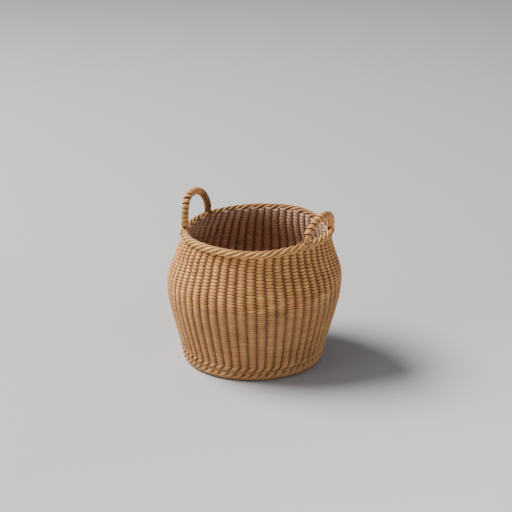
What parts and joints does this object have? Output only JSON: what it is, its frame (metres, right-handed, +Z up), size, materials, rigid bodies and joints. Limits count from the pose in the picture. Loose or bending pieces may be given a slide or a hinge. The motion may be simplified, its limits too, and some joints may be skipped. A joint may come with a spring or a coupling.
{
  "type": "split willow basket",
  "caption": "Small round bellied basket woven from split willow skeins on upright stakes, with a twisted rim, a rolled foot and two wrapped loop handles.",
  "frame": {"origin": "on the floor under the middle of the basket's outline", "axes": "+Z up out of the mouth; the handles are at +X and -X, the lower one at +X"},
  "size_m": [0.0796, 0.0796, 0.0781],
  "materials": {
    "fine_skein": "split willow, fine rows, dry and slightly silky",
    "skein": "split willow, coarser rows, dry and slightly silky",
    "foot_skein": "split willow strokes, dry and slightly silky",
    "rim_skein": "pale split willow, dry and slightly silky",
    "base_weave": "split willow, dull",
    "base_stick": "split willow rod, dull",
    "stake": "split willow rod, dull",
    "handle_rod": "willow rod, dull",
    "handle_skein": "pale split willow, dry and slightly silky"
  },
  "bodies": {
    "root": {"side_weave_lower": "fine_skein", "side_weave_upper": "skein", "foot_border": "foot_skein", "foot_wale": "foot_skein", "base_weave": "base_weave", "rim_border": "rim_skein", "stake_pair_01": "stake", "stake_pair_02": "stake", "stake_pair_03": "stake", "stake_pair_04": "stake", "stake_pair_05": "stake", "stake_pair_06": "stake", "stake_pair_07": "stake", "stake_pair_08": "stake", "stake_pair_09": "stake", "stake_pair_10": "stake", "stake_pair_11": "stake", "stake_pair_12": "stake", "stake_pair_13": "stake", "stake_pair_14": "stake", "stake_pair_15": "stake", "stake_pair_16": "stake", "stake_pair_17": "stake", "stake_pair_18": "stake", "stake_pair_19": "stake", "stake_pair_20": "stake", "stake_pair_21": "stake", "stake_pair_22": "stake", "stake_pair_23": "stake", "stake_pair_24": "stake", "stake_pair_25": "stake", "stake_pair_26": "stake", "stake_pair_27": "stake", "stake_pair_28": "stake", "base_stick_upper_1": "base_stick", "base_stick_upper_2": "base_stick", "base_stick_upper_3": "base_stick", "base_stick_upper_4": "base_stick", "base_stick_lower_1": "base_stick", "base_stick_lower_2": "base_stick", "base_stick_lower_3": "base_stick", "base_stick_lower_4": "base_stick", "handle_bow_near": "handle_rod", "handle_bow_far": "handle_rod", "handle_wrap_near": "handle_skein", "handle_wrap_far": "handle_skein", "handle_lashing_near_1": "handle_skein", "handle_lashing_near_2": "handle_skein", "handle_lashing_far_1": "handle_skein", "handle_lashing_far_2": "handle_skein"}
  },
  "joints": []
}
